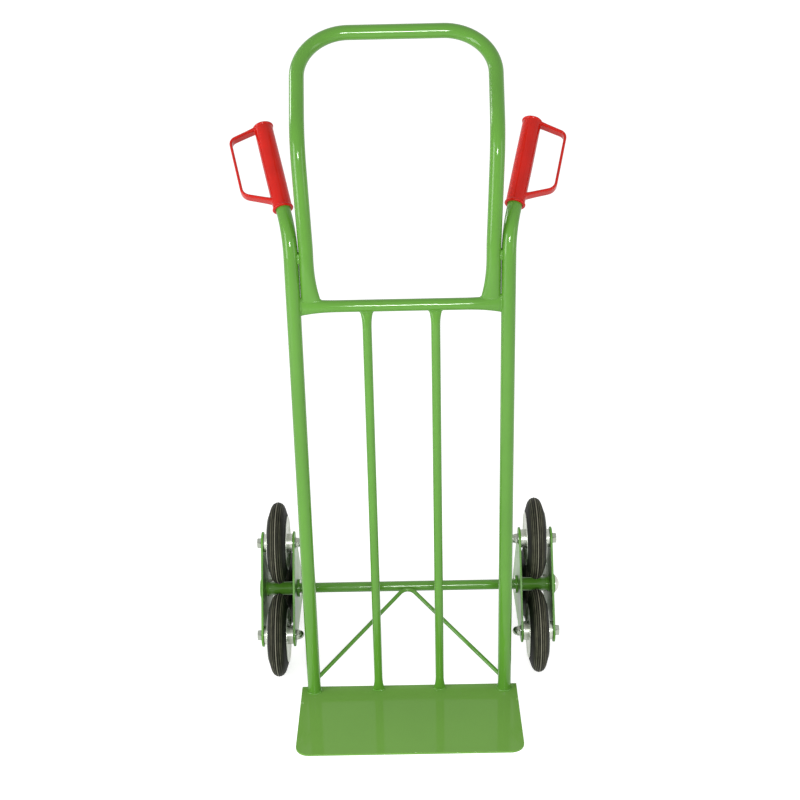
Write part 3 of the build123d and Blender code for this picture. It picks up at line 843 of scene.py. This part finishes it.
class TRUCK_OT_fasteners(bpy.types.Operator):
    """Make the hexagon bolts, domed nuts and washers of the stars"""

    bl_idname = "truck.fasteners"
    bl_label = "Bolts and nuts"

    # width across flats and a washer's thickness, in millimetres
    FLATS, WASHER = 19.0, 1.5

    def profiles(self):
        """The bolt's head and shank, the nut and the washer, each as (along, radius).

        The head and the nut are drawn out to the hexagon's corners, with a turned chamfer; the
        nut's dome is a quarter circle.
        """
        corner = self.FLATS / 2 / math.cos(math.pi / 6)
        head = np.array([
            (-1.5, 6.0), (-1.5, 9.1), (0.0, 9.1), (0.05, corner - 0.7), (0.5, corner),
            (6.3, corner), (7.15, corner - 1.3), (7.45, 9.1), (7.5, 8.5), (7.45, 3.2),
            (7.4, 0.4),
        ])
        shank = np.array([(-79.0, 0.2), (-79.0, 5.0), (-78.0, 6.0), (-1.2, 6.0)])
        turn = np.linspace(0, math.pi / 2, 16)[1:-1]
        dome = np.stack([6.0 + 8.5 * np.sin(turn), 8.5 * np.cos(turn)], -1)
        nut = np.vstack([
            [(0.0, 5.9), (0.0, 9.2), (0.3, corner - 0.5), (0.8, corner), (5.2, corner),
             (5.9, corner - 1.5), (6.1, 8.7)],
            dome, [(14.5, 0.3)],
        ])
        washer = np.array([
            (0.0, 6.15), (0.0, 10.9), (0.25, 11.2), (1.25, 11.2), (self.WASHER, 10.9),
            (self.WASHER, 6.15),
        ])
        return head * MM, shank * MM, nut * MM, washer * MM

    def execute(self, context):
        head, shank, nut, washer = self.profiles()
        flats, thick = self.FLATS * MM, self.WASHER * MM
        for side, sign in SIDES.items():
            inner_x = min(abs(corner.x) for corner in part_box(f"{side}_star_inner_plate"))
            outer_x = max(abs(corner.x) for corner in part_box(f"{side}_star_outer_plate"))
            bolts, nuts, washers = [], [], []
            for _, y, z in (joint_place(f"{side}_{place}_wheel_spin") for place in PLACES):
                head_seat, nut_seat = (
                    (sign * x, y, z) for x in (outer_x + thick, inner_x - thick)
                )
                bolts.append(turned(head * [sign, 1], head_seat, ring=False, flats=flats))
                bolts.append(turned(shank * [sign, 1], head_seat, 32, ring=False))
                nuts.append(turned(nut * [-sign, 1], nut_seat, ring=False, flats=flats))
                for seat, facing in ((head_seat, -sign), (nut_seat, sign)):
                    washers.append(turned(washer * [facing, 1], seat, 64))
            for name, skins in (("bolts", bolts), ("nuts", nuts), ("washers", washers)):
                make_piece(
                    f"{side}_plated_{name}", skins, "zinc_plate", f"{side}_star",
                    replaced=(f"{side}_wheel_{name}",), crease=math.radians(32),
                )
        return {"FINISHED"}


class TRUCK_OT_welds(bpy.types.Operator):
    """Lay the weld beads of the frame and the stars"""

    bl_idname = "truck.welds"
    bl_label = "Weld beads"

    # from the middle to an upright, a slat and a foot of the loop
    UPRIGHT_X, SLAT_X, FOOT_X = 182 * MM, 58.5 * MM, 151.95 * MM
    # the welds in front of and behind the gap beside the loop's leg, from z to z
    LEG_X, LEG_Y, LEG_Z = 169.35 * MM, 4.6 * MM, (857 * MM, 875 * MM)
    # heights of the toe plate's top and the crossbar, and radii of the upright and the crossbar
    PLATE_Z, BAR_Z, TUBE, BAR = 3 * MM, 780 * MM, 12.5 * MM, 10.5 * MM
    # where the crossbar's end starts to be pressed and how far it goes on, and its half sizes
    PRESS_X, PRESS, PRESS_BACK, PRESS_UP = 143.5 * MM, 38.5 * MM, 4.5 * MM, 15 * MM
    # half sizes of the rings round an upright, a slat, the crossbar's end, a foot and a hub
    UPRIGHT_RING, SLAT_RING = (12.8 * MM, 12.8 * MM), (10.7 * MM, 4.3 * MM)
    BAR_RING, FOOT_RING = (4.6 * MM, 14.6 * MM), (16.6 * MM, 4.6 * MM)
    HUB_RING = (13.8 * MM, 13.8 * MM)

    def ring(self, centre, sizes, across, up, span=TURN, start=0.0):
        """Points and outward directions of an ellipse, or of part of one, and if it is whole.

        A point is centre + first half size x cos angle x across + second half size x sin angle
        x up. Points are about 0.6 mm apart.
        """
        closed = span >= TURN
        steps = max(24, int(span * max(sizes) / (0.6 * MM)))
        angle = start + np.linspace(0, span, steps, endpoint=not closed)[:, None]
        first, second = np.cos(angle) * across, np.sin(angle) * up
        return centre + sizes[0] * first + sizes[1] * second, first + second, closed

    def frame_runs(self, sign):
        """Each bead of one side of the frame: path, outward directions, if closed, and size.

        On a round tube, a bead's height over the tube's middle is the square root of radius
        squared - offset squared.
        """
        # upright on the toe plate, open at the plate's back edge
        seat = (sign * self.UPRIGHT_X, 0, self.PLATE_Z)
        span, start = math.radians(270), math.radians(135)
        yield *self.ring(seat, self.UPRIGHT_RING, RIGHT, BACK, span, start), 1.0
        # slat on the toe plate and under the crossbar
        seat = (sign * self.SLAT_X, 0, self.PLATE_Z)
        path, out, closed = self.ring(seat, self.SLAT_RING, RIGHT, BACK)
        yield path, out, closed, 0.8
        path = path.copy()
        path[:, 2] = self.BAR_Z - np.sqrt(self.BAR ** 2 - path[:, 1] ** 2)
        yield path, out, closed, 0.8
        # crossbar on the upright
        path, out, closed = self.ring((0, 0, self.BAR_Z), self.BAR_RING, BACK, UP)
        path[:, 0] = sign * (self.UPRIGHT_X - np.sqrt(self.TUBE ** 2 - path[:, 1] ** 2))
        yield path, out, closed, 0.8
        # loop's foot on the crossbar, over the bar's pressed end
        seat = (sign * self.FOOT_X, 0, self.BAR_Z)
        path, out, closed = self.ring(seat, self.FOOT_RING, RIGHT, BACK)
        share = np.clip((np.abs(path[:, 0]) - self.PRESS_X) / self.PRESS, 0, 1)
        wide = self.BAR + (self.PRESS_BACK - self.BAR) * share
        tall = self.BAR + (self.PRESS_UP - self.BAR) * share
        path[:, 2] += tall * np.sqrt(np.clip(1 - (path[:, 1] / wide) ** 2, 0.05, 1))
        yield path, out, closed, 0.9
        # loop's leg beside the upright, in front and behind
        height = np.linspace(*self.LEG_Z, 30)[:, None]
        for face in (-1, 1):
            path = sign * self.LEG_X * RIGHT + face * self.LEG_Y * BACK + height * UP
            yield path, face * BACK, False, 1.5

    def star_runs(self, side):
        """The beads round a star's hub, on the faces of its two plates between them."""
        _, y, z = joint_place(f"{side}_star_spin")
        for plate, end in (("inner", max), ("outer", min)):
            x = end(abs(corner.x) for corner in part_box(f"{side}_star_{plate}_plate"))
            yield *self.ring((SIDES[side] * x, y, z), self.HUB_RING, BACK, UP), 0.9

    def execute(self, context):
        weld = context.scene.truck_weld
        runs = {"frame": [run for sign in SIDES.values() for run in self.frame_runs(sign)]}
        for side in SIDES:
            runs[f"{side}_star"] = self.star_runs(side)
        seed = 0
        for body, its_runs in runs.items():
            beads = []
            for path, out, closed, size in its_runs:
                seed += 1
                beads.append(bead(path, out, weld.radius * size, weld.ripple, closed, seed))
            make_piece(f"{body}_weld_beads", beads, "green_enamel", body)
        return {"FINISHED"}


class TRUCK_OT_studio(bpy.types.Operator):
    """Set up the floor, lamps, white surroundings and camera"""

    bl_idname = "truck.studio"
    bl_label = "Studio"

    # name, place, target, width and height, power, spread in degrees
    LAMPS = (
        ("front_lamp", (0.05, -2.25, 1.42), (0, 0.05, 0.6), (0.46, 0.32), 30, 180),
        ("left_lamp", (-2.3, -1.5, 1.0), (0, 0.05, 0.6), (1.2, 1.8), 42, 180),
        ("right_lamp", (2.4, -1.2, 1.0), (0, 0.05, 0.6), (0.9, 1.5), 9, 180),
        ("edge_lamp", (-2.13, 1.15, 1.9), (-0.15, 0.12, 1.16), (0.6, 0.9), 0.42, 24),
    )

    def white_where_seen(self, tree, dim, bright):
        """A value that is bright for camera, glossy and transmission rays, and dim as light."""
        rays = tree.nodes.new("ShaderNodeLightPath").outputs
        seen = rays["Is Camera Ray"]
        for other in ("Is Glossy Ray", "Is Transmission Ray"):
            inputs = {0: seen, 1: rays[other]}
            seen = add_node(tree, "ShaderNodeMath", inputs, operation="MAXIMUM").outputs[0]
        return add_node(tree, "ShaderNodeMapRange", {0: seen, 3: dim, 4: bright}).outputs[0]

    def lamp(self, name, place, target, size, power, spread):
        """A rectangular lamp that faces its target and shines within a spread."""
        data = bpy.data.lights.new(name, "AREA")
        data.shape = "RECTANGLE"
        data.size, data.size_y = size
        data.energy = power
        data.spread = math.radians(spread)
        lamp = bpy.data.objects.new(name, data)
        lamp.location = place
        aim = Vector(target) - Vector(place)
        lamp.rotation_euler = aim.to_track_quat("-Z", "Y").to_euler()
        bpy.context.scene.collection.objects.link(lamp)

    def floor(self):
        """A wide flat floor, almost white to the eye but keeping the object's shadow."""
        half = 40.0
        mesh = bpy.data.meshes.new("floor")
        corners = [(-half, -half, 0), (half, -half, 0), (half, half, 0), (-half, half, 0)]
        mesh.from_pydata(corners, [], [(0, 1, 2, 3)])
        floor = bpy.data.objects.new("floor", mesh)
        bpy.context.scene.collection.objects.link(floor)
        material = bpy.data.materials.new("floor_paper")
        material.use_nodes = True
        tree = material.node_tree
        paper = tree.nodes["Principled BSDF"]
        paper.inputs["Base Color"].default_value = (0.82, 0.82, 0.82, 1)
        paper.inputs["Roughness"].default_value = 0.9
        paper.inputs["Specular IOR Level"].default_value = 0.1
        glow = add_node(tree, "ShaderNodeEmission", {1: self.white_where_seen(tree, 0.0, 0.62)})
        both = add_node(tree, "ShaderNodeAddShader", {0: paper.outputs[0], 1: glow.outputs[0]})
        tree.links.new(both.outputs[0], tree.nodes["Material Output"].inputs[0])
        mesh.materials.append(material)

    def execute(self, context):
        scene = context.scene
        studio = scene.truck_studio
        self.floor()

        world = bpy.data.worlds.new("surroundings")
        scene.world = world
        world.use_nodes = True
        tree = world.node_tree
        background = tree.nodes["Background"]
        background.inputs[0].default_value = (1, 1, 1, 1)
        tree.links.new(self.white_where_seen(tree, studio.fill, 1.0), background.inputs[1])

        for lamp in self.LAMPS:
            self.lamp(*lamp)

        data = bpy.data.cameras.new("camera")
        data.lens = studio.lens
        data.sensor_width = 36.0
        camera = bpy.data.objects.new("camera", data)
        # from a level camera that faces back: roll, then tilt, then turn
        place = Matrix.Translation(studio.camera_place)
        for angle, axis in (
            (-studio.camera_yaw, "Z"), (math.pi / 2 - studio.camera_pitch, "X"),
            (-studio.camera_roll, "Z"),
        ):
            place @= Matrix.Rotation(angle, 4, axis)
        camera.matrix_world = place
        scene.collection.objects.link(camera)
        scene.camera = camera
        scene.view_settings.view_transform = "Standard"
        return {"FINISHED"}


# ---- panel and registration

STEPS = (
    TRUCK_OT_finishes, TRUCK_OT_tubes, TRUCK_OT_tyres, TRUCK_OT_rims, TRUCK_OT_grips,
    TRUCK_OT_fasteners, TRUCK_OT_welds, TRUCK_OT_studio,
)
GROUPS = {
    "truck_paint": TruckPaint,
    "truck_tube": TruckTube,
    "truck_tyre": TruckTyre,
    "truck_grip": TruckGrip,
    "truck_weld": TruckWeld,
    "truck_studio": TruckStudio,
}


class TRUCK_PT_panel(bpy.types.Panel):
    """Sizes, colours and steps of the sack truck"""

    bl_idname = "TRUCK_PT_panel"
    bl_label = "Sack truck"
    bl_space_type = "VIEW_3D"
    bl_region_type = "UI"
    bl_category = "Sack truck"

    def draw(self, context):
        for name, group in GROUPS.items():
            column = self.layout.column(align=True)
            for field in group.__annotations__:
                column.prop(getattr(context.scene, name), field)
        for step in STEPS:
            self.layout.operator(step.bl_idname)


def register():
    for kind in (*GROUPS.values(), *STEPS, TRUCK_PT_panel):
        bpy.utils.register_class(kind)
    for name, group in GROUPS.items():
        setattr(bpy.types.Scene, name, bpy.props.PointerProperty(type=group))


def unregister():
    for name in GROUPS:
        delattr(bpy.types.Scene, name)
    for kind in (TRUCK_PT_panel, *reversed(STEPS), *reversed(GROUPS.values())):
        bpy.utils.unregister_class(kind)


def main():
    register()
    for step in STEPS:
        getattr(bpy.ops.truck, step.bl_idname.removeprefix("truck."))()


if __name__ == "__main__":
    main()
